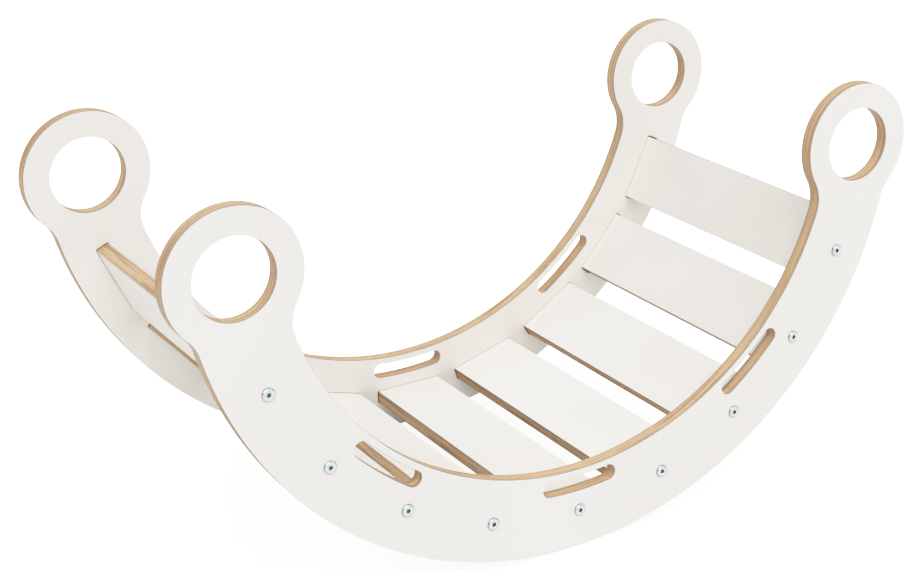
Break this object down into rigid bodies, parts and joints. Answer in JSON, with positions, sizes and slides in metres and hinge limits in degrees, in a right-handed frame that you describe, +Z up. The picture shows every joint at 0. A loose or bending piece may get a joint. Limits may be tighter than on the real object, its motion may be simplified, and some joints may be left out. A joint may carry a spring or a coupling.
{
  "type": "seesaw",
  "caption": "Child's rocking seesaw: two crescent plywood sides with round grip rings and hand slots, joined by flat slats with connector bolts.",
  "frame": {"origin": "point on the floor under the middle of the rocker, half-way between the two side panels, with the rocker resting level on its curved edges", "axes": "+X along the rocker from one pair of grip rings to the other, +Y across its width, +Z up"},
  "size_m": [1.0394, 0.4608, 0.5322],
  "materials": {
    "panel": "white laminate faces, bare birch plywood edges",
    "slat": "white laminate faces, bare birch plywood long edges",
    "bolt": "bright zinc plate",
    "insert": "bright zinc plate"
  },
  "bodies": {
    "root": {"side_panel_front": "panel", "side_panel_rear": "panel", "slat_1": "slat", "slat_2": "slat", "slat_3": "slat", "slat_4": "slat", "slat_5": "slat", "slat_6": "slat", "slat_7": "slat", "slat_8": "slat", "slat_9": "slat", "bolt_front_1": "bolt", "bolt_front_2": "bolt", "bolt_front_3": "bolt", "bolt_front_4": "bolt", "bolt_front_5": "bolt", "bolt_front_6": "bolt", "bolt_front_7": "bolt", "bolt_front_8": "bolt", "bolt_front_9": "bolt", "bolt_rear_1": "bolt", "bolt_rear_2": "bolt", "bolt_rear_3": "bolt", "bolt_rear_4": "bolt", "bolt_rear_5": "bolt", "bolt_rear_6": "bolt", "bolt_rear_7": "bolt", "bolt_rear_8": "bolt", "bolt_rear_9": "bolt", "insert_front_1": "insert", "insert_front_2": "insert", "insert_front_3": "insert", "insert_front_4": "insert", "insert_front_5": "insert", "insert_front_6": "insert", "insert_front_7": "insert", "insert_front_8": "insert", "insert_front_9": "insert", "insert_rear_1": "insert", "insert_rear_2": "insert", "insert_rear_3": "insert", "insert_rear_4": "insert", "insert_rear_5": "insert", "insert_rear_6": "insert", "insert_rear_7": "insert", "insert_rear_8": "insert", "insert_rear_9": "insert"}
  },
  "joints": []
}
